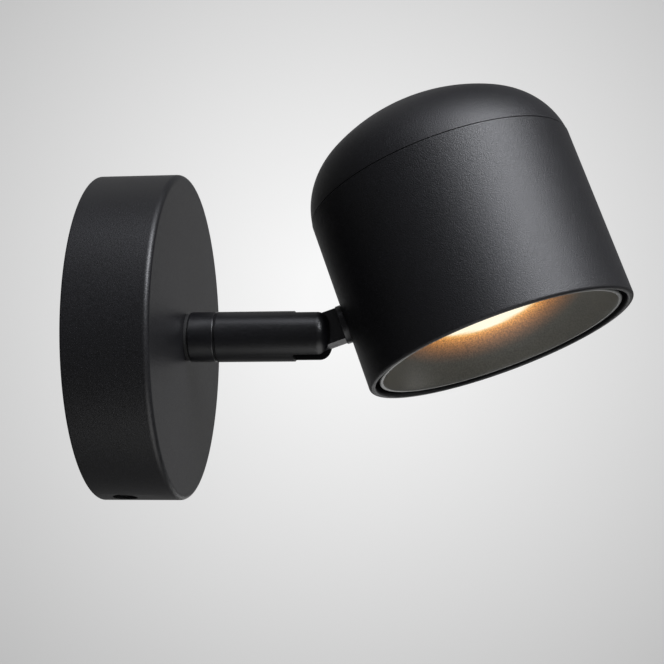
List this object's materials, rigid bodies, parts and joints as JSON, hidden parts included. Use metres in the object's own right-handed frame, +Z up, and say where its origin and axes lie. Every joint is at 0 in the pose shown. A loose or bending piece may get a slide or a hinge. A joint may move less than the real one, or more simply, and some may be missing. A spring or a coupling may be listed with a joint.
{
  "type": "pivoting spotlight wall light",
  "caption": "Round wall canopy with a short turning arm that carries a domed spotlight head on a tilting knuckle.",
  "frame": {"origin": "centre of the canopy's back, on the wall", "axes": "+X out of the wall along the arm, +Z up, +Y to one side"},
  "size_m": [0.1609, 0.1014, 0.1256],
  "materials": {
    "powder_coat_canopy": "fine matt black powder coat on steel",
    "powder_coat_head": "fine-textured matt black powder coat on aluminium",
    "powder_coat_arm": "smooth satin black powder coat on aluminium",
    "zinc_steel": "zinc plated steel",
    "black_screw": "black oxide steel",
    "brass_part": "plain brass",
    "rubber_black": "moulded rubber",
    "nylon_white": "white nylon",
    "nylon_black": "black nylon",
    "driver_white": "white polycarbonate",
    "circuit_board": "green glass-fibre board",
    "driver_black": "black moulded components",
    "heat_sink_alu": "die-cast aluminium, bare",
    "board_alu": "white-masked aluminium board",
    "pad_grey": "silicone thermal pad",
    "emitter": "phosphor-coated emitter",
    "diffuser_frost": "frosted glass",
    "reflector_grey": "dark grey satin paint on spun aluminium"
  },
  "bodies": {
    "wall_base": {"canopy_cover": "powder_coat_canopy", "mounting_plate": "zinc_steel", "cover_lock_screws": "black_screw", "cable_grommet": "rubber_black", "earth_screw": "brass_part", "terminal_block": "nylon_white", "terminal_screws": "zinc_steel", "driver_case": "driver_white", "driver_lid": "driver_white", "driver_board": "circuit_board", "driver_parts": "driver_black", "driver_screws": "zinc_steel", "arm_collar": "powder_coat_arm", "collar_spacer": "nylon_black", "tail_washer": "zinc_steel", "tail_nut": "zinc_steel", "stop_pin": "zinc_steel", "thrust_washer": "nylon_black"},
    "swivel": {"swivel_barrel": "powder_coat_arm", "swivel_spindle": "brass_part", "spindle_spring_washer": "zinc_steel", "spindle_nut": "brass_part", "friction_washers": "nylon_black", "tilt_screw": "black_screw"},
    "head": {"knuckle": "powder_coat_arm", "saddle_washer": "zinc_steel", "knuckle_nut": "brass_part", "head_shell": "powder_coat_head", "head_cap": "powder_coat_head", "cap_screws": "zinc_steel", "heat_sink": "heat_sink_alu", "thermal_pad": "pad_grey", "led_board": "board_alu", "led_chip": "emitter", "led_holder": "nylon_white", "holder_screws": "zinc_steel", "diffuser": "diffuser_frost", "reflector": "reflector_grey"}
  },
  "joints": [
    {"name": "arm_swivel", "type": "hinge", "parent": "wall_base", "child": "swivel", "pos_m": [0.0349, 0, 0], "axis": [1, 0, 0], "range_deg": [-152.6, 177.4]},
    {"name": "head_tilt", "type": "hinge", "parent": "swivel", "child": "head", "pos_m": [0.0641, 0, 0], "axis": [0, -0.9767, 0.2147], "range_deg": [-109.7, 45.3]}
  ]
}
